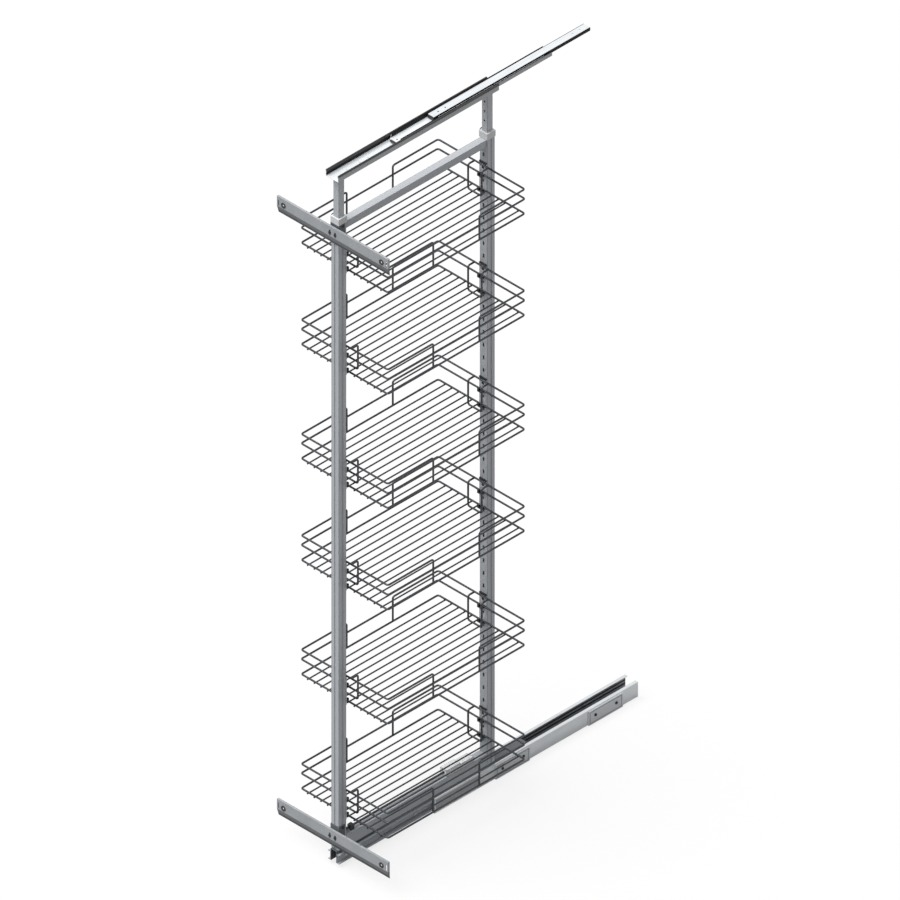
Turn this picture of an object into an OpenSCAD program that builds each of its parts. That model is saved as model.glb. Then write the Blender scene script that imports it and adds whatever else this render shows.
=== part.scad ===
// Pull out pantry frame: two telescopic uprights on a floor runner, a head
// runner under the cabinet ceiling, six lift-off wire baskets and two door bars.
// It is drawn pulled out of the cabinet. X is width, Y runs from the door to the
// cabinet back and Z is up from the cabinet floor. All sizes are millimetres.

/* [Uprights] */
// Outer width of the square upright tubes
post_size = 25; // [24:0.5:27]
// Wall of the upright tubes
post_wall = 2; // [1.8:0.1:2.1]
// Distance between the centre lines of the two uprights
post_spacing = 500; // [470:5:530]
// Height of the upper ends of the uprights above the cabinet floor
post_top = 1867; // [1860:1:1900]
// Width of the shallow grooves drawn into the uprights
groove_w = 4; // [2:0.5:6]
// Vertical pitch of the slots that carry the basket holders
slot_pitch = 37; // [36.5:0.25:37]

/* [Telescopic head] */
// Outer width of the inner tubes
tube_size = 18; // [16:0.5:18]
// Wall of the inner tubes
tube_wall = 1.5; // [1:0.25:2]
// Length of inner tube that stands out above the uprights
tube_out = 135; // [125:1:190]
// Height of the guide collars
collar_h = 18; // [14:1:22]

/* [Baskets] */
// Outer width of the baskets
basket_w = 296.5; // [290:0.5:310]
// Height of the raised rim above the lower rim, between wire centres
basket_h = 71; // [66:0.5:78]
// Thickness of the rim wires
rim_wire = 5; // [4.5:0.25:5.5]
// Thickness of the floor wires
floor_wire = 4; // [3.5:0.25:4.5]
// Number of floor wires
floor_wires = 12; // [10:2:12]
// Slot that carries the lowest basket, counted up from the floor
basket_6_slot = 2; // [2:1:3]
// Slot that carries the fifth basket
basket_5_slot = 11; // [10:1:12]
// Slot that carries the fourth basket
basket_4_slot = 20; // [19:1:21]
// Slot that carries the third basket
basket_3_slot = 28; // [27:1:29]
// Slot that carries the second basket
basket_2_slot = 37; // [36:1:38]
// Slot that carries the top basket
basket_1_slot = 45; // [44:1:45]

/* [Floor runner] */
// Length of the rails that are fixed to the cabinet floor
rail_len = 685; // [670:5:720]
// Height of the fixed rails
rail_h = 42; // [40:0.5:44]
// Length of the moving rails under the frame
runner_len = 640; // [600:5:650]
// Diameter of the bearing balls
ball_d = 6.4; // [6:0.1:6.8]
// Length of the floor brackets
bracket_len = 114; // [90:2:130]
// Distance between the floor brackets
bracket_spacing = 313; // [280:1:330]
// Diameter of the floor screw holes
floor_hole = 5; // [4:0.5:6]

/* [Head runner] */
// Outer width of the carriage rail on the frame
head_w = 42; // [40:1:46]
// Length of the middle rail
middle_len = 518; // [506:2:520]
// Length of the ceiling rail
ceiling_len = 525; // [515:1:535]
// Diameter of the ceiling screw holes
ceiling_hole = 4.5; // [3.5:0.25:5.5]

/* [Door bars] */
// Length of the door bars
bar_w = 374; // [366:2:410]
// Height of the door bars
bar_h = 49; // [46:1:51]
// Diameter of the door screw holes
door_hole = 6; // [4:0.5:7]
// Distance between the two door screw holes of a bar
door_spacing = 330; // [270:2:330]

/* [Hidden] */
$fn = 48;
zinc = [0.72, 0.74, 0.76];
steel = [0.60, 0.62, 0.65];
dark = [0.33, 0.35, 0.37];
black = [0.08, 0.08, 0.09];
wire = [0.45, 0.46, 0.48];
pale = [0.85, 0.86, 0.87];

// Depths are measured back from the front face of the front upright, and
// place() moves the origin to the middle of the front floor bracket.
bracket_d = 574;
depth_mid = (post_spacing + post_size) / 2;
post_in = post_size / 2 - post_wall;
rear_face = post_spacing;
sheet = 1.5;
gap = 0.3;
screw_d = 4;
screw_bore = 4.6;
head_d = 8;
head_t = 2.2;

// Floor runner section
rail_d = 313;
rail_base = sheet;
rail_out = 22;
rail_tip = 13.2;
rail_mid = rail_base + rail_h / 2;
rail_flange = rail_h / 2 - sheet;
ball_room = ball_d + 2 * gap;
runner_h = 2 * (rail_flange - ball_room);
runner_in = 10;
runner_tip = 18.6;
runner_d = -5;
channel_top = 44;
channel_wall = 1.5;
ball_u = 15.4;
ball_z = rail_flange - ball_room / 2;
cage_d = 330;
cage_len = 290;
cage_t = 1.2;
cage_web = 0.7;
cage_out = 19.9;
cage_in = 11.2;
cage_pitch = 40;
cage_count = 7;
rivet_end = 30;
rivet_count = 6;
rivet_pitch = (runner_len - 2 * rivet_end) / (rivet_count - 1);
bracket_t = 3;
bracket_h = 40;
bracket_screw = 35;
floor_x = 7.5;
floor_y = 35;
guide_len = 152;
guide_t = 2;
guide_lid = 1;
panel_edge = 3;
panel_t = 0.8;
line_w = 2.5;
line_t = 0.6;

// Frame
beam_top = 77;
cross_size = 20;
cross_top = post_top - 1;
beam_wall = 1.5;
groove_t = 0.8;
collar_rim = 1.5;
spigot_gap = 0.1;
spigot_h = 20;
clamp_d = 5;
grip_d = 12;
grip_t = 7;

// Basket holders
holder_w = 24;
holder_t = 2.5;
holder_low = 8;
holder_up = 72;
holder_screw_1 = 22;
holder_screw_2 = holder_screw_1 + slot_pitch;
flat_t = 1.2;
cap_t = 3.5;
cap_h = 4;
basket_gap = 4.5;
basket_front = post_size + basket_gap;
basket_len = 2 * (depth_mid - basket_front);
mid_rim = 43.4;
rim_r = rim_wire / 2;
floor_r = floor_wire / 2;
bend = 6;
weld = 0.5;
rim_outset = 0.8;
wire_over = 2;
hook_w = 16;
hook_lip = 3;
hook_room = 1.5;
hook_prong = 5;
hanger_w = 46;
hanger_in = 22;
slot_low = 80.4;
slot_len = 12;
slots = floor((post_top - 40 - slot_low) / slot_pitch);
basket_slots = [basket_1_slot, basket_2_slot, basket_3_slot, basket_4_slot, basket_5_slot, basket_6_slot];

// Telescopic tubes
tube_in = 160;
tube_low = post_top - tube_in;
tube_hole = 5;
tube_hole_low = 30.5;
tube_hole_pitch = 27.5;
shoe_h = 12;
plug_h = 20;

// Head runner section
head_z = post_top + tube_out;
head_d0 = -10;
head_over = 41;
head_len = post_spacing + head_over;
head_h = 17.4;
head_holes = [40, 84, 111];
head_hole = 5;
thin = 1.2;
race = 3.4;
liner_t = 1;
liner_out = 3.5;
liner_in = 6;
middle_d = 197;
middle_z = head_z + 6;
middle_h = 12;
middle_w = head_w - 2 * sheet - 2 * race;
middle_end = 12;
nose_r = 8;
bumper_t = 5;
bumper_low = 1;
bumper_up = 2.8;
ceiling_d = 323;
ceiling_h = 9;
ceiling_top = head_z + 19.5;
ceiling_low = ceiling_top - ceiling_h;
ceiling_w = middle_w - 2 * thin - 2 * race;
ceiling_holes = [24, 48];
stop_out = 2;
stop_in = 10;
head_ball = 2.8;
head_pitch = 30;
low_ball_z = head_z + 9;
top_ball_z = head_z + 14;
low_balls = 10;
top_balls = 12;
low_cage_d = 205;
low_cage_len = 315;
top_cage_d = 335;
top_cage_len = 355;
strip = 0.8;
strip_web = 0.6;
strip_gap = 0.5;
low_strip_top = low_ball_z + 4;
top_strip_top = top_ball_z + 2.5;

// Door bars
bar_d = -9;
bar_drop = 56;
upper_bar_z = post_top - bar_drop;
lower_bar_z = 53;
lip_h = 21;
lip_in = 6;
lip_edge = 1;
bar_mid = lip_h + 10;
notch_pitch = 45;
notch_d = 3;
end_slot = 5.5;
end_slot_w = 4;
end_slot_h = 18;
bush_d = 15;
bush_t = 1;
bush_barrel = door_hole + 2.4;
pad_w = 44;
pad_inset = 5;
pad_slot = 9;
strap_t = 1.5;
strap_arm = 20;
upper_strap_top = post_top;
lower_strap_top = 114;
strap_screw = 6;

// Catch
catch_z = 85;
catch_d = 365;
catch_len = 90;
catch_w = 22;
catch_top = catch_z + 10;
catch_bore = 30;
rod_d = 5;
knob_d = 9;
knob_t = 7;
knob_gap = 7;
clip_w = 12;
clip_gap = 22;
clip_top = catch_z + 6;

function slot_z(n) = slot_low + n * slot_pitch;
function basket_z(i) = slot_z(basket_slots[i]) - holder_screw_1;

// Shared helpers

module place() {
  translate([0, -bracket_d, 0]) children();
}

module both_sides() {
  children();
  mirror([1, 0, 0]) children();
}

module both_ends() {
  children();
  mirror_depth() children();
}

module mirror_depth() {
  translate([0, 2 * depth_mid, 0]) mirror([0, 1, 0]) children();
}

module block(x0, x1, y0, y1, z0, z1) {
  translate([x0, y0, z0]) cube([x1 - x0, y1 - y0, z1 - z0]);
}

module rod_x(x0, x1, y, z, d) {
  translate([x0, y, z]) rotate([0, 90, 0]) cylinder(d = d, h = x1 - x0);
}

module rod_y(x, y0, y1, z, d) {
  translate([x, y0, z]) rotate([-90, 0, 0]) cylinder(d = d, h = y1 - y0);
}

module rod_z(x, y, z0, z1, d) {
  translate([x, y, z0]) cylinder(d = d, h = z1 - z0);
}

// Square tube from y0 to y1
module tube_y(size_x, z0, z1, y0, y1, wall) {
  difference() {
    block(-size_x / 2, size_x / 2, y0, y1, z0, z1);
    block(-size_x / 2 + wall, size_x / 2 - wall, y0 - 1, y1 + 1, z0 + wall, z1 - wall);
  }
}

// Pan head screw along X, with the underside of its head at x
module screw_x(x, y, z, tip) {
  rod_x(tip, x + weld, y, z, screw_d);
  rod_x(x, x + head_t, y, z, head_d);
}

// Floor runner

module cabinet_rail() {
  difference() {
    block(rail_tip, rail_out, rail_d, rail_d + rail_len, rail_base, rail_base + rail_h);
    block(rail_tip - 1, rail_out - sheet, rail_d - 1, rail_d + rail_len + 1,
      rail_base + sheet, rail_base + rail_h - sheet);
    bracket_screw_places() rod_x(rail_out - 3, rail_out + 1, 0, rail_mid, screw_bore);
  }
}

module bracket_screw_places() {
  for (b = [0, bracket_spacing])
    for (s = [-bracket_screw, bracket_screw])
      translate([0, bracket_d + b + s, 0]) children();
}

module left_cabinet_rail() {
  color(zinc) place() mirror([1, 0, 0]) cabinet_rail();
}

module right_cabinet_rail() {
  color(zinc) place() cabinet_rail();
}

// Side guide with a sunk panel, folded over the top of the fixed rail
module front_guide() {
  back = rail_d + guide_len;
  out = rail_out + guide_t;
  low = rail_base + guide_t;
  top = rail_base + rail_h;
  difference() {
    union() {
      block(rail_out, out, rail_d, back, low, top + guide_lid);
      block(rail_tip + guide_t, out, rail_d, back, top, top + guide_lid);
    }
    block(out - panel_t, out + 1, rail_d + panel_edge, back - panel_edge, low + panel_edge, top - panel_edge);
  }
}

module left_front_guide() {
  color(dark) place() mirror([1, 0, 0]) front_guide();
}

module right_front_guide() {
  color(dark) place() front_guide();
}

// Thin line pressed round the side of a floor bracket
module bracket_line(d) {
  out = rail_out + bracket_t;
  half = bracket_len / 2 - panel_edge;
  difference() {
    block(out - line_t, out + 1, d - half, d + half, panel_edge, bracket_h - panel_edge);
    block(out - 1, out + 2, d - half + line_w, d + half - line_w,
      panel_edge + line_w, bracket_h - panel_edge - line_w);
  }
}

module floor_bracket(d) {
  difference() {
    block(-rail_out - bracket_t, rail_out + bracket_t, d - bracket_len / 2, d + bracket_len / 2,
      0, bracket_h);
    block(-rail_out, rail_out, d - bracket_len, d + bracket_len, rail_base, bracket_h + 1);
    for (x = [-floor_x, floor_x])
      for (y = [-floor_y, floor_y])
        rod_z(x, d + y, -1, bracket_h, floor_hole);
    for (s = [-bracket_screw, bracket_screw])
      rod_x(-rail_out - 2 * bracket_t, rail_out + 2 * bracket_t, d + s, rail_mid, screw_bore);
    both_sides() bracket_line(d);
  }
}

module front_floor_bracket() {
  color(steel) place() floor_bracket(bracket_d);
}

module rear_floor_bracket() {
  color(steel) place() floor_bracket(bracket_d + bracket_spacing);
}

module bracket_screws() {
  color(black) place() both_sides() bracket_screw_places()
    screw_x(rail_out + bracket_t, 0, rail_mid, rail_out - sheet);
}

module ball_places() {
  first = cage_d + cage_len / 2 - (cage_count - 1) / 2 * cage_pitch;
  for (i = [0 : cage_count - 1])
    for (s = [-1, 1])
      translate([ball_u, first + i * cage_pitch, rail_mid + s * ball_z]) children();
}

module ball_cage() {
  top = ball_z + cage_t / 2;
  inner = ball_z - cage_t / 2;
  difference() {
    block(cage_in, cage_out, cage_d, cage_d + cage_len, rail_mid - top, rail_mid + top);
    block(cage_in - 1, cage_out - cage_web, cage_d - 1, cage_d + cage_len + 1,
      rail_mid - inner, rail_mid + inner);
    ball_places() translate([0, 0, -cage_t]) cylinder(d = ball_d + 2 * gap, h = 2 * cage_t);
  }
}

module left_ball_cage() {
  color(pale) place() mirror([1, 0, 0]) ball_cage();
}

module right_ball_cage() {
  color(pale) place() ball_cage();
}

module runner_balls() {
  color(steel) place() both_sides() ball_places() sphere(d = ball_d);
}

module rivet_places() {
  for (i = [0 : rivet_count - 1])
    translate([0, runner_d + rivet_end + i * rivet_pitch, rail_mid]) children();
}

module runner_rail() {
  difference() {
    block(runner_in, runner_tip, runner_d, runner_d + runner_len,
      rail_mid - runner_h / 2, rail_mid + runner_h / 2);
    block(runner_in + sheet, runner_tip + 1, runner_d - 1, runner_d + runner_len + 1,
      rail_mid - runner_h / 2 + sheet, rail_mid + runner_h / 2 - sheet);
    rivet_places() rod_x(runner_in - 1, runner_tip, 0, 0, screw_bore);
  }
}

module left_runner_rail() {
  color(steel) place() mirror([1, 0, 0]) runner_rail();
}

module right_runner_rail() {
  color(steel) place() runner_rail();
}

module runner_channel() {
  color(dark) place() difference() {
    block(-runner_in, runner_in, runner_d, runner_d + runner_len, rail_mid - runner_h / 2, channel_top);
    block(-runner_in + channel_wall, runner_in - channel_wall, runner_d - 1, runner_d + runner_len + 1,
      0, channel_top - channel_wall);
    rivet_places() rod_x(-runner_tip, runner_tip, 0, 0, screw_bore);
  }
}

module runner_rivets() {
  inner = runner_in - channel_wall;
  outer = runner_in + sheet;
  color(zinc) place() both_sides() rivet_places() {
    rod_x(inner - weld, outer + weld, 0, 0, screw_d);
    rod_x(inner - sheet, inner, 0, 0, head_d);
    rod_x(outer, outer + sheet, 0, 0, head_d);
  }
}

// Frame

module slot_cut(w, len, depth) {
  rotate([-90, 0, 0]) linear_extrude(depth) {
    square([w, len - w], center = true);
    for (s = [-1, 1])
      translate([0, s * (len - w) / 2]) circle(d = w);
  }
}

module post_groove(angle) {
  rotate([0, 0, angle])
    translate([-groove_w / 2, -post_size / 2 - 1, channel_top - 1])
      cube([groove_w, 1 + groove_t, post_top]);
}

// Front upright, with its slots in the face that looks to the rear upright
module upright() {
  difference() {
    block(-post_size / 2, post_size / 2, 0, post_size, channel_top, post_top);
    block(-post_in, post_in, post_wall, post_size - post_wall, channel_top - 1, post_top + 1);
    translate([0, post_size / 2, 0])
      for (a = [0, 90, -90])
        post_groove(a);
    for (i = [1 : slots])
      translate([0, post_size - post_wall - 1, slot_z(i)])
        slot_cut(screw_bore, slot_len, post_wall + 2);
  }
}

module front_post() {
  color(steel) place() difference() {
    upright();
    both_sides()
      for (z = [upper_strap_top - strap_screw, lower_strap_top - strap_screw])
        rod_x(post_in - 1, post_size, post_size / 2, z, screw_bore);
  }
}

module rear_post() {
  color(steel) place() mirror_depth() upright();
}

module bottom_beam() {
  color(steel) place() tube_y(post_size, channel_top, beam_top, post_size, rear_face, beam_wall);
}

module top_crosspiece() {
  color(steel) place()
    tube_y(cross_size, cross_top - cross_size, cross_top, post_size, rear_face, beam_wall);
}

// Guide collar of the front upright, pushed into the top of the tube
module collar() {
  rim = post_size / 2 + collar_rim;
  bore = tube_size / 2 + gap;
  spigot = post_in - spigot_gap;
  translate([0, post_size / 2, post_top]) difference() {
    union() {
      block(-rim, rim, -rim, rim, 0, collar_h);
      block(-spigot, spigot, -spigot, spigot, -spigot_h, weld);
    }
    block(-bore, bore, -bore, bore, -spigot_h - 1, collar_h + 1);
    rod_x(-2 * rim, 0, 0, collar_h / 2, clamp_d + 2 * gap);
  }
}

module front_collar() {
  color(pale) place() collar();
}

module rear_collar() {
  color(pale) place() mirror_depth() collar();
}

module clamp_screws() {
  tip = tube_size / 2 + gap;
  seat = post_size / 2 + collar_rim;
  z = post_top + collar_h / 2;
  color(black) place() both_ends() mirror([1, 0, 0]) {
    rod_x(tip, seat + weld, post_size / 2, z, clamp_d);
    rod_x(seat, seat + grip_t, post_size / 2, z, grip_d);
  }
}

// Door bars

module bar_slot(x, w, len) {
  translate([x, bar_d - 1, bar_mid]) slot_cut(w, len, 2 * sheet + 1);
}

// Folded bar with a lip that slopes back at its lower edge and closed ends
module door_bar(z) {
  front = bar_d;
  back = bar_d + lip_in;
  translate([0, 0, z]) difference() {
    union() {
      translate([-bar_w / 2, 0, 0]) rotate([90, 0, 90]) linear_extrude(bar_w)
        polygon([
          [front, lip_h], [front, bar_h], [back, bar_h], [back, bar_h - sheet],
          [front + sheet, bar_h - sheet], [front + sheet, lip_h], [back + lip_edge, lip_edge], [back, 0]
        ]);
      both_sides() translate([bar_w / 2 - sheet, 0, 0]) rotate([90, 0, 90]) linear_extrude(sheet)
        polygon([[front, lip_h], [front, bar_h], [back, bar_h], [back, 0]]);
    }
    both_sides() {
      bar_slot(pad_slot, screw_d + 1, 16);
      bar_slot(bar_w / 2 - end_slot, end_slot_w, end_slot_h);
      rod_y(door_spacing / 2, front - 1, front + sheet + 1, bar_mid, bush_barrel + 2 * gap);
      for (i = [1 : 3])
        rod_z(i * notch_pitch, (front + sheet + back) / 2, bar_h - 2 * sheet, bar_h + 1, notch_d);
    }
  }
}

module upper_door_bar() {
  color(zinc) place() door_bar(upper_bar_z);
}

module lower_door_bar() {
  color(zinc) place() door_bar(lower_bar_z);
}

// Flanged bushes of the door screws
module door_bushes() {
  color(dark) place()
    for (z = [upper_bar_z, lower_bar_z])
      both_sides() difference() {
        union() {
          rod_y(door_spacing / 2, bar_d - bush_t, bar_d, z + bar_mid, bush_d);
          rod_y(door_spacing / 2, bar_d - weld, bar_d + sheet, z + bar_mid, bush_barrel);
        }
        rod_y(door_spacing / 2, bar_d - bush_t - 1, bar_d + sheet + 1, z + bar_mid, door_hole);
      }
}

module bar_pad(z) {
  front = bar_d + sheet;
  low = lip_h + 1;
  high = bar_h - pad_inset;
  translate([0, 0, z]) difference() {
    block(-pad_w / 2, pad_w / 2, front, -strap_t, low, high);
    for (x = [-pad_slot, pad_slot])
      rod_y(x, front - 1, 0, bar_mid, screw_bore);
  }
}

module upper_bar_pad() {
  color(dark) place() bar_pad(upper_bar_z);
}

module lower_bar_pad() {
  color(dark) place() bar_pad(lower_bar_z);
}

// Strap round the front and both sides of the front upright
module bar_strap(z0, z1) {
  side = post_size / 2;
  difference() {
    block(-side - strap_t, side + strap_t, -strap_t, strap_arm, z0, z1);
    block(-side, side, 0, strap_arm + 1, z0 - 1, z1 + 1);
    rod_x(-post_size, post_size, post_size / 2, z1 - strap_screw, screw_bore);
  }
}

module upper_bar_strap() {
  color(dark) place() bar_strap(upper_bar_z + lip_h, upper_strap_top);
}

module lower_bar_strap() {
  color(dark) place() bar_strap(lower_bar_z + lip_h, lower_strap_top);
}

module bar_screws() {
  seat = bar_d;
  side = post_size / 2 + strap_t;
  color(black) place() {
    for (z = [upper_bar_z, lower_bar_z])
      for (x = [-pad_slot, pad_slot]) {
        rod_y(x, seat - weld, -strap_t - 1, z + bar_mid, screw_d);
        rod_y(x, seat - head_t, seat, z + bar_mid, head_d);
      }
    both_sides()
      for (z = [upper_strap_top - strap_screw, lower_strap_top - strap_screw])
        screw_x(side, post_size / 2, z, post_in);
  }
}

// Catch on the bottom beam

module catch_housing() {
  half = catch_w / 2;
  step = catch_d + catch_len / 2;
  color(pale) place() difference() {
    union() {
      block(-half, half, catch_d, step, beam_top, catch_top);
      block(-half, half, step - weld, catch_d + catch_len, beam_top, clip_top);
    }
    rod_y(0, catch_d - 1, catch_d + catch_bore, catch_z, rod_d + 2 * gap);
  }
}

module catch_rod() {
  start = post_size + knob_gap;
  color(black) place() {
    rod_y(0, start, catch_d + catch_bore / 2, catch_z, rod_d);
    rod_y(0, start, start + knob_t, catch_z, knob_d);
  }
}

module rod_clip() {
  start = post_size + clip_gap;
  half = clip_w / 2;
  color(black) place() difference() {
    block(-half, half, start, start + clip_w, beam_top, clip_top);
    rod_y(0, start - 1, start + clip_w + 1, catch_z, rod_d + 2 * gap);
  }
}

// Basket holders on the front upright

// Hook that carries one end wire of a basket, with two prongs behind the wire
module holder_hook(z) {
  seat = z - rim_r - gap;
  tip = basket_front + rim_wire + hook_room;
  half = hook_w / 2;
  block(-half, half, post_size + holder_t, tip + hook_lip, seat - hook_lip, seat);
  both_sides()
    block(half - hook_prong, half, tip, tip + hook_lip, seat - weld, z + rim_r + 1);
}

module holder() {
  difference() {
    block(-holder_w / 2, holder_w / 2, post_size, post_size + holder_t, -holder_low, holder_up);
    for (z = [holder_screw_1, holder_screw_2]) {
      rod_y(0, post_size - 1, post_size + holder_t + 1, z, screw_bore);
      rod_y(0, post_size + holder_t - flat_t - gap, post_size + holder_t + 1, z, head_d + 2 * gap);
    }
  }
}

module front_basket_holders() {
  color(pale) place()
    for (i = [0 : len(basket_slots) - 1])
      translate([0, 0, basket_z(i)]) holder();
}

module rear_basket_holders() {
  color(pale) place() mirror_depth()
    for (i = [0 : len(basket_slots) - 1])
      translate([0, 0, basket_z(i)]) holder();
}

module basket_hooks() {
  for (i = [0 : len(basket_slots) - 1])
    translate([0, 0, basket_z(i)]) {
      holder_hook(0);
      holder_hook(mid_rim);
      block(-holder_w / 2, holder_w / 2, post_size, post_size + cap_t, holder_up, holder_up + cap_h);
    }
}

module front_basket_hooks() {
  color(dark) place() basket_hooks();
}

module rear_basket_hooks() {
  color(dark) place() mirror_depth() basket_hooks();
}

module holder_screws() {
  seat = post_size + holder_t - flat_t - gap;
  color(black) place() both_ends()
    for (i = [0 : len(basket_slots) - 1])
      for (z = [holder_screw_1, holder_screw_2]) {
        rod_y(0, post_size - post_wall, seat + weld, basket_z(i) + z, screw_d);
        rod_y(0, seat, seat + flat_t, basket_z(i) + z, head_d);
      }
}

// Baskets

// Quarter bend in the XY plane: from +Y travel at x = r to -X travel at y = r
module elbow(d) {
  rotate_extrude(angle = 90) translate([bend, 0]) circle(d = d);
}

// Closed rim that lies flat, with bent corners
module rim(half_x, half_y, d) {
  for (sx = [0, 1])
    mirror([sx, 0, 0]) {
      rod_y(half_x, -half_y + bend, half_y - bend, 0, d);
      for (sy = [0, 1])
        mirror([0, sy, 0]) translate([half_x - bend, half_y - bend, 0]) elbow(d);
    }
  for (s = [-1, 1])
    rod_x(-half_x + bend, half_x - bend, s * half_y, 0, d);
}

// Raised rim over the rear third, turned down to the floor rim on both sides
module raised_end(half_x, half_y) {
  third = basket_len / 6;
  for (sx = [0, 1])
    mirror([sx, 0, 0]) {
      rod_z(half_x, third, 0, basket_h - bend, rim_wire);
      translate([half_x, third + bend, basket_h - bend])
        rotate([90, 0, -90]) elbow(rim_wire);
      rod_y(half_x, third + bend, half_y - bend, basket_h, rim_wire);
      translate([half_x - bend, half_y - bend, basket_h]) elbow(rim_wire);
    }
  rod_x(-half_x + bend, half_x - bend, half_y, basket_h, rim_wire);
}

// Loop inside the end of the basket, hung from the raised rim and resting on the floor wires
module end_loop(half_y) {
  base = 0;
  inner = half_y - hanger_in;
  half = hanger_w / 2;
  for (sx = [0, 1])
    mirror([sx, 0, 0]) {
      rod_y(half, inner + bend, half_y, basket_h, rim_wire);
      translate([half, inner + bend, basket_h - bend])
        rotate([90, 0, -90]) elbow(rim_wire);
      rod_z(half, inner, base + bend, basket_h - bend, rim_wire);
      translate([half - bend, inner, base + bend])
        rotate([-90, 0, 0]) elbow(rim_wire);
    }
  rod_x(-half + bend, half - bend, inner, base, rim_wire);
}

module basket(i) {
  half_x = basket_w / 2 - rim_r;
  half_y = basket_len / 2 - rim_r;
  drop = rim_r + floor_r - weld;
  pitch = 2 * half_x / (floor_wires + 1);
  color(wire) place() translate([0, depth_mid, basket_z(i)]) {
    rim(half_x, half_y, rim_wire);
    translate([0, 0, mid_rim]) rim(half_x + rim_outset, half_y, rim_wire);
    for (sy = [0, 1])
      mirror([0, sy, 0]) {
        raised_end(half_x, half_y);
        end_loop(half_y);
      }
    for (n = [1 : floor_wires])
      rod_y(-half_x + n * pitch, -half_y - wire_over, half_y + wire_over, -drop, floor_wire);
  }
}

module basket_1() {
  basket(0);
}

module basket_2() {
  basket(1);
}

module basket_3() {
  basket(2);
}

module basket_4() {
  basket(3);
}

module basket_5() {
  basket(4);
}

module basket_6() {
  basket(5);
}

// Telescopic head

// Inner tube of the front upright, with holes in the wall that looks to the rear
module inner_tube() {
  half = tube_size / 2;
  bore = half - tube_wall;
  translate([0, post_size / 2, 0]) difference() {
    block(-half, half, -half, half, tube_low, head_z);
    block(-bore, bore, -bore, bore, tube_low - 1, head_z + 1);
    for (i = [0 : 2])
      rod_y(0, 0, half + 1, head_z - tube_hole_low - i * tube_hole_pitch, tube_hole);
  }
}

module front_inner_tube() {
  color(steel) place() inner_tube();
}

module rear_inner_tube() {
  color(steel) place() mirror_depth() inner_tube();
}

module tube_shoes() {
  side = post_in - gap;
  plug = tube_size / 2 - tube_wall;
  color(black) place() both_ends() translate([0, post_size / 2, tube_low]) {
    block(-side, side, -side, side, -shoe_h, 0);
    block(-plug, plug, -plug, plug, -weld, plug_h);
  }
}

// Channel that opens upward, from y0 to y1
module trough(w, y0, y1, z0, h, t) {
  difference() {
    block(-w / 2, w / 2, y0, y1, z0, z0 + h);
    block(-w / 2 + t, w / 2 - t, y0 - 1, y1 + 1, z0 + t, z0 + h + 1);
  }
}

module head_carriage_rail() {
  color(zinc) place() difference() {
    trough(head_w, head_d0, head_d0 + head_len, head_z, head_h, sheet);
    both_ends()
      for (d = head_holes)
        rod_z(0, d, head_z - 1, head_z + sheet + 1, head_hole);
  }
}

// Strips clipped over the upper edges of the carriage rail
module head_liners() {
  side = head_w / 2;
  back = head_d0 + head_len;
  top = head_z + head_h + liner_t;
  color(black) place() both_sides() difference() {
    block(side - sheet - liner_t, side + liner_t, head_d0, back, top - liner_t - liner_in, top);
    block(side - sheet, side, head_d0 - 1, back + 1, head_z, head_z + head_h);
    block(side, side + 2 * liner_t, head_d0 - 1, back + 1, head_z, top - liner_t - liner_out);
  }
}

// Places of a double row of balls, on both sides of a head runner cage
module head_ball_places(x, y0, y1, z, count) {
  first = (y0 + y1) / 2 - (count - 1) / 2 * head_pitch;
  for (i = [0 : count - 1])
    for (s = [-1, 1])
      translate([s * x, first + i * head_pitch, z]) children();
}

module low_ball_places() {
  x = head_w / 2 - sheet - race / 2;
  back = low_cage_d + low_cage_len;
  head_ball_places(x, low_cage_d, back, low_ball_z, low_balls) children();
}

module top_ball_places() {
  x = middle_w / 2 - thin - race / 2;
  back = top_cage_d + top_cage_len;
  head_ball_places(x, top_cage_d, back, top_ball_z, top_balls) children();
}

module head_lower_cage() {
  w = head_w - 2 * sheet - race + strip;
  base = head_z + sheet + strip_gap;
  color(pale) place() difference() {
    block(-w / 2, w / 2, low_cage_d, low_cage_d + low_cage_len, base, low_strip_top);
    block(-w / 2 + strip, w / 2 - strip, low_cage_d - 1, low_cage_d + low_cage_len + 1,
      base + strip_web, low_strip_top + 1);
    low_ball_places() rod_x(-strip, strip, 0, 0, head_ball + 2 * gap);
  }
}

module head_lower_balls() {
  color(steel) place() low_ball_places() sphere(d = head_ball);
}

// Middle rail with a rounded nose at the front
module head_middle_rail() {
  back = middle_d + middle_len;
  nose = middle_w / 2 - nose_r;
  color(zinc) place() difference() {
    union() {
      trough(middle_w, middle_d + nose_r, back, middle_z, middle_h, thin);
      translate([0, middle_d, middle_z]) linear_extrude(thin) {
        translate([-nose, 0]) square([2 * nose, nose_r + 1]);
        for (s = [-1, 1])
          translate([s * nose, nose_r]) intersection() {
            circle(r = nose_r);
            translate([-nose_r, -nose_r]) square([2 * nose_r, nose_r + 1]);
          }
      }
    }
    for (d = [middle_end, middle_len - middle_end])
      rod_z(0, middle_d + d, middle_z - 1, middle_z + thin + 1, head_hole);
  }
}

module middle_bumper() {
  nose = middle_w / 2 - nose_r;
  color(black) place()
    block(-nose, nose, middle_d - bumper_t, middle_d, middle_z - bumper_low, middle_z + bumper_up);
}

module head_upper_cage() {
  w = middle_w - 2 * thin - race + strip;
  base = middle_z + thin + strip_gap;
  color(pale) place() difference() {
    block(-w / 2, w / 2, top_cage_d, top_cage_d + top_cage_len, base, top_strip_top);
    block(-w / 2 + strip, w / 2 - strip, top_cage_d - 1, top_cage_d + top_cage_len + 1,
      base + strip_web, top_strip_top + 1);
    top_ball_places() rod_x(-strip, strip, 0, 0, head_ball + 2 * gap);
  }
}

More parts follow.
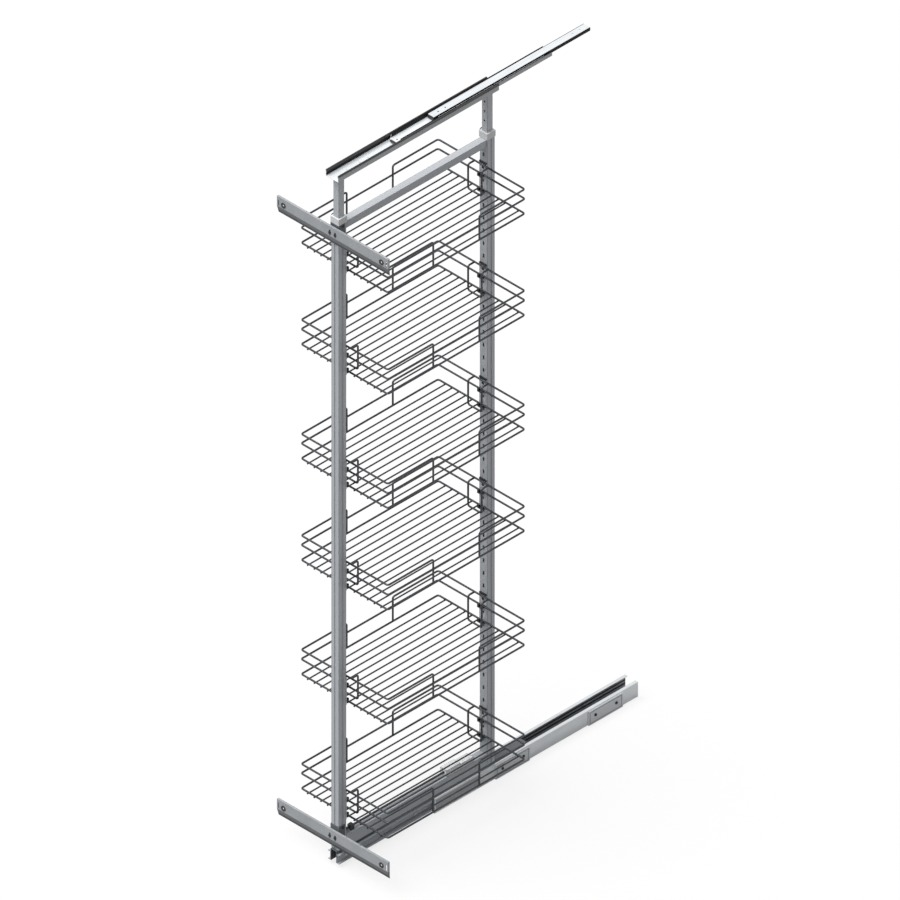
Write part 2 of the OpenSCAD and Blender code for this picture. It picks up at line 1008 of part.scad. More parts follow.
module head_upper_balls() {
  color(steel) place() top_ball_places() sphere(d = head_ball);
}

module ceiling_rail() {
  half = ceiling_w / 2;
  back = ceiling_d + ceiling_len;
  color(zinc) place() difference() {
    block(-half, half, ceiling_d, back, ceiling_low, ceiling_top);
    block(-half + sheet, half - sheet, ceiling_d - 1, back + 1, ceiling_low - 1, ceiling_top - sheet);
    for (d = ceiling_holes) {
      rod_z(0, ceiling_d + d, ceiling_low, ceiling_top + 1, ceiling_hole);
      rod_z(0, back - d, ceiling_low, ceiling_top + 1, ceiling_hole);
    }
  }
}

module ceiling_bumper() {
  half = ceiling_w / 2 - sheet;
  color(black) place()
    block(-half, half, ceiling_d - stop_out, ceiling_d + stop_in, ceiling_low + gap, ceiling_top - sheet);
}

left_cabinet_rail();
right_cabinet_rail();
left_front_guide();
right_front_guide();
front_floor_bracket();
rear_floor_bracket();
bracket_screws();
left_ball_cage();
right_ball_cage();
runner_balls();
left_runner_rail();
right_runner_rail();
runner_channel();
runner_rivets();
bottom_beam();
front_post();
rear_post();
top_crosspiece();
front_collar();
rear_collar();
clamp_screws();
upper_door_bar();
lower_door_bar();
upper_bar_pad();
lower_bar_pad();
upper_bar_strap();
lower_bar_strap();
bar_screws();
door_bushes();
catch_housing();
catch_rod();
rod_clip();
front_basket_holders();
rear_basket_holders();
front_basket_hooks();
rear_basket_hooks();
holder_screws();
basket_1();
basket_2();
basket_3();
basket_4();
basket_5();
basket_6();
front_inner_tube();
rear_inner_tube();
tube_shoes();
head_carriage_rail();
head_liners();
head_lower_cage();
head_lower_balls();
head_middle_rail();
middle_bumper();
head_upper_cage();
head_upper_balls();
ceiling_rail();
ceiling_bumper();
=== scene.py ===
"""Looks of the pull out pantry frame: finishes, small fastenings, light and camera."""

from math import cos, pi, radians, sin

import bmesh
import bpy
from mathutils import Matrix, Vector


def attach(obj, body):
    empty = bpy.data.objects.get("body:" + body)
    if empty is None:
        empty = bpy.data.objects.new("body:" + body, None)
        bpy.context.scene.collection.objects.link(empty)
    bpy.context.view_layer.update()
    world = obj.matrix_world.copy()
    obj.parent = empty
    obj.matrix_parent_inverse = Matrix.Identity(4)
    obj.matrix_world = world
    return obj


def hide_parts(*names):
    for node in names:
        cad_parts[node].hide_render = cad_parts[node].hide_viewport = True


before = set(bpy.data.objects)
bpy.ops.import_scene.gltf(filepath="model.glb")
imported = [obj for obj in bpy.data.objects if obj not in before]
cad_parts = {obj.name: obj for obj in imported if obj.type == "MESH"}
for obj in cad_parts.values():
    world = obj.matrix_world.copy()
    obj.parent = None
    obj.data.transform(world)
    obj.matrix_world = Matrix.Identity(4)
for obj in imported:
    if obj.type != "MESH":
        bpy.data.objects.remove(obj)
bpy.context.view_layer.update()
MM = 0.001

# Sizes of the object in millimetres. Depths run back from the front of the front upright, and the
# frame's origin is BACK behind it.
BACK = 574
POST_TOP = 1867
FRONT_POST, REAR_POST = 12.5, 512.5
CROSS_TOP, CROSS_HALF = 1866, 10
RAIL_HALF = 21
TRACKS = ((36, 40), (27, 31), (17, 22))
BAR_HALF = 188
LIPS = (1810.5, 52.5)
LIP_H, LIP_EDGE_H = 21, 9
BASKETS = [1723.4, 1427.4, 1094.4, 798.4, 465.4, 132.4]
RIM_HALF = 145.75
FLOOR_GAPS = 13
END_WIRES = (32.6, 492.4)


def at(x, depth, z):
    """A point of the object in metres, from millimetres across, back and up."""
    return Vector((x * MM, (depth - BACK) * MM, z * MM))


# Finishes


def linear(colour):
    """An sRGB hex colour as linear red, green, blue and full alpha."""
    parts = [int(colour[i:i + 2], 16) / 255 for i in (1, 3, 5)]
    return [p / 12.92 if p <= 0.04045 else ((p + 0.055) / 1.055) ** 2.4 for p in parts] + [1.0]


def add(tree, kind, inputs=None, **settings):
    """Adds one node with its settings, and links or sets its inputs by name or number."""
    made = tree.nodes.new(kind)
    for name, value in settings.items():
        setattr(made, name, value)
    for name, value in (inputs or {}).items():
        if isinstance(value, bpy.types.NodeSocket):
            tree.links.new(value, made.inputs[name])
        else:
            made.inputs[name].default_value = value
    return made


# A mix of colours takes its share at input 0 and the colours at 6 and 7, and gives output 2. A
# range takes its value at input 0 and turns the span from 1 to 2 into the span from 3 to 4.
MIX = "ShaderNodeMix"
RGBA = {"data_type": "RGBA"}
RANGE = "ShaderNodeMapRange"
BUMP = "ShaderNodeBump"
MATH = "ShaderNodeMath"
SHADER = "ShaderNodeBsdfPrincipled"
SURFACE = "ShaderNodeOutputMaterial"

# Most of a noise lies between these values.
SPREAD = {1: 0.3, 2: 0.7}
# Cosine between a face and its rounded edge: flat, and fully on the edge.
ON_FACE, ON_EDGE = 0.985, 0.86


def new_finish(name):
    """An empty material, and the coordinates its patterns follow."""
    made = bpy.data.materials.new(name)
    made.use_nodes = True
    tree = made.node_tree
    tree.nodes.clear()
    place = add(tree, "ShaderNodeTexCoord").outputs["Object"]
    return made, tree, place


def grain(tree, place, size, detail=3.0):
    """Noise whose patches are about size = (x, y, z) millimetres."""
    scale = [1 / (s * MM) for s in size]
    turned = add(tree, "ShaderNodeMapping", {"Vector": place, "Scale": scale})
    made = add(tree, "ShaderNodeTexNoise", {"Vector": turned.outputs[0], "Scale": 1.0,
                                            "Detail": detail})
    return made.outputs[0]


def edges(tree, radius):
    """1 along outer and inner edges within about radius millimetres and 0 on flat faces, with the
    normal of the rounded edge."""
    soft = add(tree, "ShaderNodeBevel", {"Radius": radius * MM}, samples=4)
    flat = add(tree, "ShaderNodeNewGeometry")
    along = add(tree, "ShaderNodeVectorMath", {0: soft.outputs[0], 1: flat.outputs["Normal"]},
                operation="DOT_PRODUCT")
    made = add(tree, RANGE, {0: along.outputs["Value"], 1: ON_FACE, 2: ON_EDGE, 3: 0.0, 4: 1.0})
    return made.outputs[0], soft.outputs[0]


def inside(tree, place, box):
    """1 where the distance from the middle and the height lie within box, in millimetres."""
    x_from, x_to, z_from, z_to = [v * MM for v in box]
    split = add(tree, "ShaderNodeSeparateXYZ", {0: place})
    side = add(tree, MATH, {0: split.outputs[0]}, operation="ABSOLUTE")
    across = add(tree, MATH, {0: side.outputs[0], 1: (x_from + x_to) / 2, 2: (x_to - x_from) / 2},
                 operation="COMPARE")
    upward = add(tree, MATH, {0: split.outputs[2], 1: (z_from + z_to) / 2, 2: (z_to - z_from) / 2},
                 operation="COMPARE")
    made = add(tree, MATH, {0: across.outputs[0], 1: upward.outputs[0]}, operation="MULTIPLY")
    return made.outputs[0]


def zinc_plated_steel(name, light, cloud, edge_wear_and_light, metal, shade_bands):
    # Cold rolled strip, plated and passivated: cool pale grey with a satin sheen, fine rolling
    # lines along the rail and a faint cloudy mottle. The lines are really under 1 mm wide and
    # are drawn 4 mm wide so that they show. Bands of painted shade darken some faces: near black
    # along the ball tracks and inner faces of the rails, grey over the inside of the floor rails,
    # duller grey on the outer faces of the head rails, and grey on the lips of the bars, darkest
    # along their lower edge.
    made, tree, place = new_finish(name)
    lines = grain(tree, place, (4, 240, 4))
    clouds = grain(tree, place, (45, 60, 45), 4.0)
    edge_mask, soft = edges(tree, 0.6)
    both = add(tree, MATH, {0: lines, 1: clouds}, operation="MULTIPLY")
    share = add(tree, RANGE, {0: both.outputs[0], 1: 0.12, 2: 0.42, 3: 0.0, 4: 1.0})
    body = add(tree, MIX, {0: share.outputs[0], 6: linear(cloud), 7: linear(light)}, **RGBA)
    body = add(tree, MIX, {0: edge_mask, 6: body.outputs[2], 7: linear(edge_wear_and_light)}, **RGBA)
    rough = add(tree, RANGE, {0: lines, **SPREAD, 3: 0.34, 4: 0.48})
    bump = add(tree, BUMP, {"Strength": 0.12, "Distance": 0.2 * MM, "Height": lines,
                            "Normal": soft})
    shader = add(tree, SHADER, {"Roughness": rough.outputs[0], "Metallic": metal,
                                "Normal": bump.outputs[0]})
    shaded = []
    for (darker, lighter), box in shade_bands:
        shaded.append(inside(tree, place, box))
        shade_tone = add(tree, MIX, {0: clouds, 6: linear(darker), 7: linear(lighter)}, **RGBA)
        body = add(tree, MIX, {0: shaded[-1], 6: body.outputs[2], 7: shade_tone.outputs[2]}, **RGBA)
    while len(shaded) > 1:
        both = add(tree, MATH, {0: shaded.pop(), 1: shaded.pop()}, operation="MAXIMUM")
        shaded.append(both.outputs[0])
    # The painted shade is matt as well, so that the plating's shine doesn't lighten it.
    shine = add(tree, RANGE, {0: shaded[0], 1: 0.0, 2: 1.0, 3: 0.5, 4: 0.1})
    tree.links.new(shine.outputs[0], shader.inputs["Specular IOR Level"])
    tree.links.new(body.outputs[2], shader.inputs["Base Color"])
    add(tree, SURFACE, {"Surface": shader.outputs[0]})
    return made


def coated_steel(name, body, shade, flakes, edge_wear_and_light, reach, painted_band=None, painted_tone=None):
    # Powder coat on steel: even, matt to satin, with a fine orange-peel skin and flakes that make
    # it cloudy from near by. Its edges take a tone of their own: on the silver grey coats a painted
    # shade that outlines them dark, on the guides a painted highlight that leaves them pale, and
    # rubbed wear on the other coats. Painted shade darkens the pressed lines of the brackets and
    # guides, and the top of the crosspiece is painted paler as painted light. The skin is really
    # about 0.8 mm from crest to crest and is drawn coarser so that it shows.
    made, tree, place = new_finish(name)
    skin = grain(tree, place, (1.6, 1.6, 1.6), 2.0)
    clouds = grain(tree, place, (70, 70, 180), 3.0)
    edge_mask, soft = edges(tree, reach)
    coat = add(tree, MIX, {0: clouds, 6: linear(shade), 7: linear(body)}, **RGBA)
    if painted_band:
        share = inside(tree, place, painted_band)
        coat = add(tree, MIX, {0: share, 6: coat.outputs[2], 7: linear(painted_tone)}, **RGBA)
    fleck = add(tree, RANGE, {0: skin, 1: 0.62, 2: 0.75, 3: 0.0, 4: 0.3})
    coat = add(tree, MIX, {0: fleck.outputs[0], 6: coat.outputs[2], 7: linear(flakes)}, **RGBA)
    coat = add(tree, MIX, {0: edge_mask, 6: coat.outputs[2], 7: linear(edge_wear_and_light)}, **RGBA)
    rough = add(tree, RANGE, {0: clouds, **SPREAD, 3: 0.42, 4: 0.56})
    bump = add(tree, BUMP, {"Strength": 0.1, "Distance": 0.15 * MM, "Height": skin,
                            "Normal": soft})
    shader = add(tree, SHADER, {"Base Color": coat.outputs[2], "Roughness": rough.outputs[0],
                                "Metallic": 0.15, "Normal": bump.outputs[0]})
    add(tree, SURFACE, {"Surface": shader.outputs[0]})
    return made


def plated_wire(name, body, shade):
    # Drawn steel wire, nickel and chrome plated: dark mirror with a bright line along its
    # upper side and faint draw marks along its length.
    made, tree, place = new_finish(name)
    marks = grain(tree, place, (6, 60, 6), 3.0)
    plate = add(tree, MIX, {0: marks, 6: linear(shade), 7: linear(body)}, **RGBA)
    rough = add(tree, RANGE, {0: marks, **SPREAD, 3: 0.18, 4: 0.32})
    bump = add(tree, BUMP, {"Strength": 0.08, "Distance": 0.1 * MM, "Height": marks})
    shader = add(tree, SHADER, {"Base Color": plate.outputs[2], "Roughness": rough.outputs[0],
                                "Metallic": 0.9, "Normal": bump.outputs[0]})
    add(tree, SURFACE, {"Surface": shader.outputs[0]})
    return made


def moulded_plastic(name, body, shade, edge_wear_and_light, rough_from, rough_to, reach=0.8):
    # Injection moulded nylon or acetal: the mould's fine spark texture, a slight flow mottle
    # and corners rubbed smoother and lighter. On the white catch housing the edges are painted
    # dark instead, a painted shade that outlines it. The texture is really about 0.2 mm and is
    # drawn coarser so that it shows.
    made, tree, place = new_finish(name)
    spark = grain(tree, place, (1.2, 1.2, 1.2), 2.0)
    flow = grain(tree, place, (18, 26, 18), 3.0)
    edge_mask, soft = edges(tree, reach)
    skin = add(tree, MIX, {0: flow, 6: linear(shade), 7: linear(body)}, **RGBA)
    skin = add(tree, MIX, {0: edge_mask, 6: skin.outputs[2], 7: linear(edge_wear_and_light)}, **RGBA)
    rough = add(tree, RANGE, {0: flow, **SPREAD, 3: rough_from, 4: rough_to})
    bump = add(tree, BUMP, {"Strength": 0.18, "Distance": 0.12 * MM, "Height": spark,
                            "Normal": soft})
    shader = add(tree, SHADER, {"Base Color": skin.outputs[2], "Roughness": rough.outputs[0],
                                "Normal": bump.outputs[0]})
    add(tree, SURFACE, {"Surface": shader.outputs[0]})
    return made


def turned_steel(name, body, shade, rough_from, rough_to):
    # Turned or cold headed steel: fine tool marks and a darker oiled film in patches.
    made, tree, place = new_finish(name)
    film = grain(tree, place, (5, 5, 5), 4.0)
    metal = add(tree, MIX, {0: film, 6: linear(shade), 7: linear(body)}, **RGBA)
    rough = add(tree, RANGE, {0: film, **SPREAD, 3: rough_from, 4: rough_to})
    bump = add(tree, BUMP, {"Strength": 0.1, "Distance": 0.08 * MM, "Height": film})
    shader = add(tree, SHADER, {"Base Color": metal.outputs[2], "Roughness": rough.outputs[0],
                                "Metallic": 0.85, "Normal": bump.outputs[0]})
    add(tree, SURFACE, {"Surface": shader.outputs[0]})
    return made


# Zincs: light, cloudy, and the tone of the edges. Bands of painted shade: darker and lighter.
BRIGHT = ("#e6e9eb", "#dadde0", "#eceef0")
SATIN = ("#cfd2d4", "#c4c7ca", "#d8dbdd")
DULL = ("#a3a6a9", "#94979b", "#7b7e82")
# Painted shade in the rails: near black along the ball tracks and inner faces, grey over the inside
# of the floor rails, and duller grey on the outer faces of the head rails.
TRACK_SHADE = ("#0b0b0c", "#1d1d1f")
CHANNEL_SHADE = ("#6f7275", "#8d9093")
SIDE_SHADE = ("#9b9ea1", "#adb0b3")
# Painted shade on the lips of the bars, darker along their lower edge.
LIP_SHADE = ("#66696c", "#777a7e")
LIP_EDGE_SHADE = ("#3f4245", "#505356")

# The boxes are the faces with painted shade, the pressed-in panels whose lines get painted
# shade, and the top of the crosspiece, painted lighter as painted light, each as a distance
# from the middle and a height in millimetres.
ceiling_zinc = zinc_plated_steel("zinc_plated_steel", *SATIN, 0.25,
                                 [(TRACK_SHADE, (9.9, 11.7, 2012, 2022))])
tracks = [(TRACK_SHADE, (0, RAIL_HALF, low, high)) for low, high in TRACKS]
floor_zinc = zinc_plated_steel("zinc_plated_steel_floor_rail", *SATIN, 0.7,
                               [(CHANNEL_SHADE, (0, RAIL_HALF, 2.8, 42.2))] + tracks)
carriage_zinc = zinc_plated_steel("zinc_plated_steel_carriage", *BRIGHT, 0.25, [
    (TRACK_SHADE, (19.1, 19.9, 2003.8, 2020)), (SIDE_SHADE, (20.8, 21.2, 2001, 2020))])
middle_zinc = zinc_plated_steel("zinc_plated_steel_middle", *BRIGHT, 0.25, [
    (SIDE_SHADE, (15.9, 16.3, 2007, 2021)), (TRACK_SHADE, (14.5, 15.3, 2009.4, 2021)),
    (TRACK_SHADE, (14.5, 16.3, 2018.5, 2021))])
lips = [(film, (0, BAR_HALF, low, low + tall))
        for film, tall in ((LIP_SHADE, LIP_H), (LIP_EDGE_SHADE, LIP_EDGE_H)) for low in LIPS]
bar_zinc = zinc_plated_steel("zinc_plated_steel_door_bar", *DULL, 0.2, lips)
# Dark edges are painted shade that outlines the tubes and rails.
grey_coat = coated_steel("silver_grey_powder_coat", "#b3b6ba", "#a6aaaf", "#c7cacd", "#63676c", 2.4)
# A darker copy of the grey coat for the crosspiece, its top face painted paler: painted light on
# the top, painted shade on its sides and edges.
cross_coat = coated_steel("silver_grey_powder_coat_crosspiece", "#abaeb2", "#9ea2a7", "#c0c3c6",
                          "#63676c", 2.4, (0, CROSS_HALF, CROSS_TOP - 0.2, CROSS_TOP + 0.2),
                          "#bec1c5")
# The dark line 24.2 to 24.6 mm from the middle is painted shade in the pressed line.
bracket_coat = coated_steel("light_grey_powder_coat", "#d8dbde", "#cccfd2", "#e0e2e4", "#b4b7ba",
                            1.1, (24.2, 24.6, 0, 40), "#9a9da1")
# Pale edges are a painted highlight, and the dark line 23.1 to 23.3 mm from the middle is painted
# shade in the pressed line.
guide_coat = coated_steel("pale_grey_powder_coat", "#e4e6e8", "#d9dcde", "#eceef0", "#eceef0",
                          1.1, (23.1, 23.3, 0, 42), "#acafb2")
dark_coat = coated_steel("graphite_powder_coat", "#55585c", "#484b4f", "#77797c", "#77797c", 1.1)
wire = plated_wire("chrome_plated_wire", "#4a4d51", "#393b3f")
black = moulded_plastic("black_polyamide", "#1b1b1d", "#121214", "#2e2e30", 0.42, 0.55)
charcoal = moulded_plastic("charcoal_polyamide", "#3a3c3f", "#303235", "#505255", 0.4, 0.52)
pale = moulded_plastic("pale_grey_acetal", "#d3d5d6", "#c6c8ca", "#dfe0e1", 0.36, 0.46)
# Dark edges, reaching 3.5 mm, are painted shade that outlines the catch housing.
white = moulded_plastic("white_acetal", "#eff0f1", "#e5e7e8", "#222324", 0.36, 0.46, 3.5)
oiled = turned_steel("black_oxide_steel", "#3d3f42", "#2a2b2d", 0.3, 0.44)
polished = turned_steel("polished_bearing_steel", "#b9bdc1", "#9ba0a5", 0.08, 0.16)

FINISHES = [
    (ceiling_zinc, "ceiling_rail runner_rivets"),
    (floor_zinc, "left_cabinet_rail right_cabinet_rail"),
    (carriage_zinc, "head_carriage_rail"),
    (middle_zinc, "head_middle_rail"),
    (bar_zinc, "upper_door_bar lower_door_bar"),
    (grey_coat, "bottom_beam front_post rear_post front_inner_tube rear_inner_tube left_runner_rail"
                " right_runner_rail"),
    (cross_coat, "top_crosspiece"),
    (bracket_coat, "front_floor_bracket rear_floor_bracket"),
    (guide_coat, "left_front_guide right_front_guide"),
    (dark_coat, "runner_channel upper_bar_strap lower_bar_strap"),
    (wire, "basket_1 basket_2 basket_3 basket_4 basket_5 basket_6"),
    (black, "head_liners middle_bumper ceiling_bumper catch_rod rod_clip tube_shoes clamp_screws"
            " door_bushes front_basket_hooks rear_basket_hooks"),
    (charcoal, "upper_bar_pad lower_bar_pad"),
    (pale, "front_collar rear_collar front_basket_holders rear_basket_holders left_ball_cage"
           " right_ball_cage head_lower_cage head_upper_cage"),
    (white, "catch_housing"),
    (oiled, "bracket_screws bar_screws holder_screws"),
    (polished, "runner_balls head_lower_balls head_upper_balls"),
]


def wear(thing, finish):
    """Gives a whole piece one finish."""
    if not thing.material_slots:
        thing.data.materials.append(finish)
    for slot in thing.material_slots:
        slot.material = finish


for finish, names in FINISHES:
    for name in names.split():
        wear(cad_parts[name], finish)

# Hand modelling helpers


def only(thing):
    """Selects one object alone and makes it the active one."""
    bpy.ops.object.select_all(action="DESELECT")
    thing.select_set(True)
    bpy.context.view_layer.objects.active = thing


def pick(thing, kind, test):
    """In edit mode, selects the faces, edges or verts of a piece that pass a test, and no more."""
    bpy.ops.mesh.select_all(action="DESELECT")
    bpy.ops.mesh.select_mode(type={"faces": "FACE", "edges": "EDGE", "verts": "VERT"}[kind])
    shape = bmesh.from_edit_mesh(thing.data)
    for part in getattr(shape, kind):
        if test(part):
            part.select_set(True)
    bmesh.update_edit_mesh(thing.data)


def middle(part):
    """Centre of an edge or a face."""
    return sum((v.co for v in part.verts), Vector()) / len(part.verts)


def pull(length):
    """Extrudes the picked faces along Z."""
    bpy.ops.mesh.extrude_region_move(TRANSFORM_OT_translate={"value": (0, 0, length)})


def copies(model, places, name):
    """One piece of copies of a model, each turned and moved to its place, and the model removed."""
    made = []
    for turn, spot in places:
        only(model)
        bpy.ops.object.duplicate(linked=False)
        copy = bpy.context.object
        copy.rotation_euler = turn
        copy.location = spot
        made.append(copy)
    bpy.ops.object.select_all(action="DESELECT")
    for copy in made:
        copy.select_set(True)
    bpy.context.view_layer.objects.active = made[0]
    bpy.ops.object.transform_apply(location=True, rotation=True, scale=True)
    bpy.ops.object.join()
    whole = bpy.context.object
    whole.name = name
    whole.data.name = name
    bpy.data.objects.remove(model)
    return whole


# Screws

HEAD_R = 4 * MM
SHANK_R = 2 * MM
TIP = 0.6 * MM
RECESS = (4.4 * MM, 1.1 * MM)


def cross_screw(shank, head_t, dome):
    """Screw along Z with a domed head and a cross recess; the head's underside is at the origin."""
    bpy.ops.object.select_all(action="DESELECT")
    bpy.ops.mesh.primitive_cylinder_add(vertices=32, radius=HEAD_R, depth=head_t,
                                        location=(0, 0, head_t / 2))
    screw = bpy.context.object
    bpy.ops.object.transform_apply(location=True, rotation=True, scale=True)
    bpy.ops.object.mode_set(mode="EDIT")
    pick(screw, "edges", lambda e: middle(e).z > head_t * 0.99)
    bpy.ops.mesh.bevel(offset=dome, segments=5, profile=0.6, affect="EDGES")
    pick(screw, "faces", lambda f: f.normal.z < -0.9)
    bpy.ops.mesh.inset(thickness=HEAD_R - SHANK_R)
    pull(-(shank - TIP))
    pull(-TIP)
    bpy.ops.transform.resize(value=(0.7, 0.7, 1))
    bpy.ops.object.mode_set(mode="OBJECT")
    for turn in (0, pi / 2):
        bpy.ops.object.select_all(action="DESELECT")
        bpy.ops.mesh.primitive_cube_add(size=1, location=(0, 0, head_t))
        blade = bpy.context.object
        blade.scale = (*RECESS, head_t * 1.1)
        blade.rotation_euler = (0, 0, turn)
        bpy.ops.object.transform_apply(location=True, rotation=True, scale=True)
        only(screw)
        cut = screw.modifiers.new("recess", "BOOLEAN")
        cut.operation = "DIFFERENCE"
        cut.solver = "EXACT"
        cut.object = blade
        bpy.ops.object.modifier_apply(modifier="recess")
        bpy.data.objects.remove(blade)
    only(screw)
    bpy.ops.object.shade_smooth_by_angle(angle=radians(35))
    return screw


TO_FRONT = (pi / 2, 0, 0)
TO_REAR = (-pi / 2, 0, 0)
TO_RIGHT = (0, pi / 2, 0)
TO_LEFT = (0, -pi / 2, 0)
SIDES = ((TO_RIGHT, 1), (TO_LEFT, -1))

# Thickness and dome of the two kinds of head
PAN = (2.2 * MM, 1.5 * MM)
FLAT = (1.2 * MM, 0.5 * MM)

# Where the undersides of the heads lie, in millimetres
BAR_FACE, BAR_SCREW_X, BAR_SCREW_Z = -9, 9, (1842, 84)
STRAP_SIDE, STRAP_SCREW_Z = 14, (1861, 108)
BRACKET_SIDE, BRACKET_SCREW_DEPTH, BRACKET_SCREW_Z = 25, (539, 609, 852, 922), 22.5
HOLDER_FACES, HOLDER_SCREW_UP = ((TO_REAR, 26), (TO_FRONT, 499)), (22, 59)

spots = [(TO_FRONT, at(x, BAR_FACE, z)) for z in BAR_SCREW_Z for x in (-BAR_SCREW_X, BAR_SCREW_X)]
bar_heads = copies(cross_screw(6.5 * MM, *PAN), spots, "door_bar_front_screws")
spots = [(turn, at(side * STRAP_SIDE, FRONT_POST, z)) for z in STRAP_SCREW_Z
         for turn, side in SIDES]
strap_heads = copies(cross_screw(3.5 * MM, *PAN), spots, "strap_side_screws")
spots = [(turn, at(side * BRACKET_SIDE, depth, BRACKET_SCREW_Z)) for depth in BRACKET_SCREW_DEPTH
         for turn, side in SIDES]
bracket_heads = copies(cross_screw(4.5 * MM, *PAN), spots, "floor_bracket_screws")
spots = [(turn, at(0, depth, z + up)) for z in BASKETS for up in HOLDER_SCREW_UP
         for turn, depth in HOLDER_FACES]
holder_heads = copies(cross_screw(3 * MM, *FLAT), spots, "holder_cross_screws")

for piece, body, node in ((bar_heads, "frame", "bar_screws"), (strap_heads, "frame", "bar_screws"),
                          (bracket_heads, "floor_runner", "bracket_screws"),
                          (holder_heads, "frame", "holder_screws")):
    wear(piece, oiled)
    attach(piece, body)
    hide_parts(node)

# Clamp screws of the guide collars

GRIP_R = 6 * MM
GRIP_T = 7 * MM
FLUTE_DEEP = 0.6 * MM
DIMPLE_DEEP = 0.6 * MM
STEM_IN = 3.5 * MM
STEM = 4.7 * MM
COLLAR_SIDE, CLAMP_UP = 14, 9


def fluted_grip():
    """Clamp screw along Z: a grip with finger flutes, on a short stem that reaches the tube."""
    bpy.ops.object.select_all(action="DESELECT")
    bpy.ops.mesh.primitive_cylinder_add(vertices=36, radius=GRIP_R, depth=GRIP_T,
                                        location=(0, 0, GRIP_T / 2))
    grip = bpy.context.object
    bpy.ops.object.transform_apply(location=True, rotation=True, scale=True)
    bpy.ops.object.mode_set(mode="EDIT")
    walls = [f.index for f in bmesh.from_edit_mesh(grip.data).faces if abs(f.normal.z) < 0.1]
    flutes = set(walls[0::3])
    pick(grip, "faces", lambda f: f.index in flutes)
    bpy.ops.mesh.inset(thickness=0.15 * MM, use_individual=True)
    bpy.ops.transform.shrink_fatten(value=-FLUTE_DEEP)
    pick(grip, "edges", lambda e: middle(e).z > GRIP_T * 0.99)
    bpy.ops.mesh.bevel(offset=0.5 * MM, segments=3, affect="EDGES")
    pick(grip, "faces", lambda f: f.normal.z > 0.95 and middle(f).xy.length < GRIP_R * 0.5)
    bpy.ops.mesh.inset(thickness=1.2 * MM)
    pull(-DIMPLE_DEEP)
    pick(grip, "faces", lambda f: f.normal.z < -0.9)
    bpy.ops.mesh.inset(thickness=STEM_IN)
    pull(-STEM)
    bpy.ops.object.mode_set(mode="OBJECT")
    only(grip)
    bpy.ops.object.shade_smooth_by_angle(angle=radians(30))
    return grip


spots = [(TO_LEFT, at(-COLLAR_SIDE, depth, POST_TOP + CLAMP_UP))
         for depth in (FRONT_POST, REAR_POST)]
clamps = copies(fluted_grip(), spots, "fluted_clamp_screws")
wear(clamps, black)
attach(clamps, "frame")
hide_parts("clamp_screws")

# Weld beads on the baskets

BEAD = (2.5 * MM, 2.9 * MM, 1.5 * MM)
BEAD_DROP = 2.2


def weld_bead():
    """A bead where two wires are resistance welded: a squashed drop, pulled out along one wire."""
    bpy.ops.object.select_all(action="DESELECT")
    bpy.ops.mesh.primitive_uv_sphere_add(segments=8, ring_count=5, radius=1)
    bead = bpy.context.object
    bead.scale = BEAD
    bpy.ops.object.transform_apply(location=True, rotation=True, scale=True)
    bpy.ops.object.mode_set(mode="EDIT")
    pick(bead, "verts", lambda v: v.co.z > 0.3 * MM)
    bpy.ops.transform.resize(value=(1.2, 0.9, 0.8))
    bpy.ops.object.mode_set(mode="OBJECT")
    only(bead)
    bpy.ops.object.shade_smooth()
    return bead


# Floor wires lie under the two end wires of the lower rim.
WIRES = [-RIM_HALF + 2 * RIM_HALF / FLOOR_GAPS * n for n in range(1, FLOOR_GAPS)]
for number, z in enumerate(BASKETS, 1):
    spots = [((0, 0, 0), at(x, depth, z - BEAD_DROP)) for x in WIRES for depth in END_WIRES]
    beads = copies(weld_bead(), spots, f"basket_{number}_weld_beads")
    wear(beads, wire)
    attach(beads, f"basket_{number}")

# Floor, light and camera

FLOOR_SIZE = 30
FLOOR_DROP = 0.5 * MM

bpy.ops.object.select_all(action="DESELECT")
bpy.ops.mesh.primitive_plane_add(size=FLOOR_SIZE, location=(0, 0, -FLOOR_DROP))
floor = bpy.context.object
floor.name = "studio_floor"


def grey(value):
    """A linear grey with full alpha."""
    return value, value, value, 1


# White paper sweep: pale in reflections, and a plain grey to the light that bounces off it, so
# that the undersides aren't flooded.
BOUNCED, MIRRORED, SEEN = grey(0.24), grey(0.95), grey(0.15)
LIFT = 0.78
paper = bpy.data.materials.new("white_paper_sweep")
paper.use_nodes = True
tree = paper.node_tree
tree.nodes.clear()
path = add(tree, "ShaderNodeLightPath")
to_eye = path.outputs["Is Camera Ray"]
shine = add(tree, MATH, {0: path.outputs["Is Glossy Ray"], 1: 0.5}, operation="MULTIPLY")
seen = add(tree, MATH, {0: path.outputs["Is Transmission Ray"], 1: shine.outputs[0]},
           operation="MAXIMUM")
tone = add(tree, MIX, {0: seen.outputs[0], 6: BOUNCED, 7: MIRRORED}, **RGBA)
tone = add(tree, MIX, {0: to_eye, 6: tone.outputs[2], 7: SEEN}, **RGBA)
matt = add(tree, "ShaderNodeBsdfDiffuse", {"Color": tone.outputs[2]})
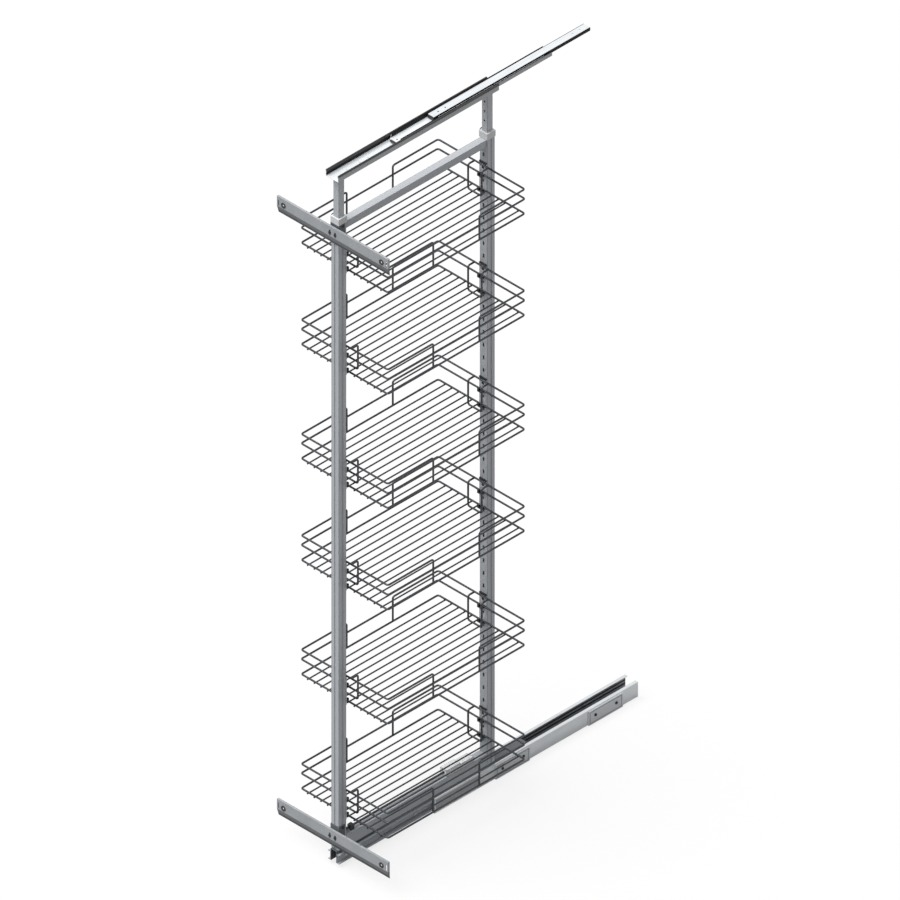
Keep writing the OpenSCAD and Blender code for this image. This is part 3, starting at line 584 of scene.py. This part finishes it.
# The eye alone sees the paper lit from behind as well, just up to white. That keeps its shadow
# soft, and a brighter paper would eat into the thin wires in front of it.
lift = add(tree, MATH, {0: to_eye, 1: LIFT}, operation="MULTIPLY")
glow = add(tree, "ShaderNodeEmission", {"Strength": lift.outputs[0]})
sweep = add(tree, "ShaderNodeAddShader", {0: matt.outputs[0], 1: glow.outputs[0]})
add(tree, SURFACE, {"Surface": sweep.outputs[0]})
wear(floor, paper)

# The room is white to the eye and in reflections, and gives a dimmer fill light.
ROOM_FILL, ROOM_SEEN = grey(0.3), grey(1)
world = bpy.data.worlds.new("soft_white_room")
bpy.context.scene.world = world
world.use_nodes = True
tree = world.node_tree
tree.nodes.clear()
path = add(tree, "ShaderNodeLightPath")
seen = add(tree, MATH, {0: path.outputs["Is Camera Ray"], 1: path.outputs["Is Glossy Ray"]},
           operation="MAXIMUM")
seen = add(tree, MATH, {0: path.outputs["Is Transmission Ray"], 1: seen.outputs[0]},
           operation="MAXIMUM")
tone = add(tree, MIX, {0: seen.outputs[0], 6: ROOM_FILL, 7: ROOM_SEEN}, **RGBA)
sky = add(tree, "ShaderNodeBackground", {"Color": tone.outputs[2], "Strength": 1.0})
add(tree, "ShaderNodeOutputWorld", {"Surface": sky.outputs[0]})

# A broad light from above, a little to the front and left
LIGHT_FROM = Vector((-0.14, -0.35, 0.925))
key = bpy.data.lights.new("overhead_softbox", "SUN")
key.energy = 1.4 * pi
key.angle = radians(55)
lamp = bpy.data.objects.new("overhead_softbox", key)
bpy.context.scene.collection.objects.link(lamp)
lamp.rotation_euler = LIGHT_FROM.to_track_quat("Z", "Y").to_euler()

# The picture is an isometric view, 0.42 pixels to the millimetre in a 900 pixel frame.
PIXELS, PER_MM = 900, 0.42
DISTANCE = 6
camera = bpy.data.cameras.new("isometric_camera")
camera.type = "ORTHO"
camera.ortho_scale = PIXELS / PER_MM * MM
eye = bpy.data.objects.new("isometric_camera", camera)
bpy.context.scene.collection.objects.link(eye)
turn = radians(45)
rise = radians(35.264)
aim = at(0, 387, 1014)
away = Vector((sin(turn) * cos(rise), -cos(turn) * cos(rise), sin(rise)))
eye.location = aim + DISTANCE * away
eye.rotation_euler = (pi / 2 - rise, 0, turn)
bpy.context.scene.camera = eye

bpy.context.scene.view_settings.view_transform = "Standard"

bpy.context.view_layer.update()
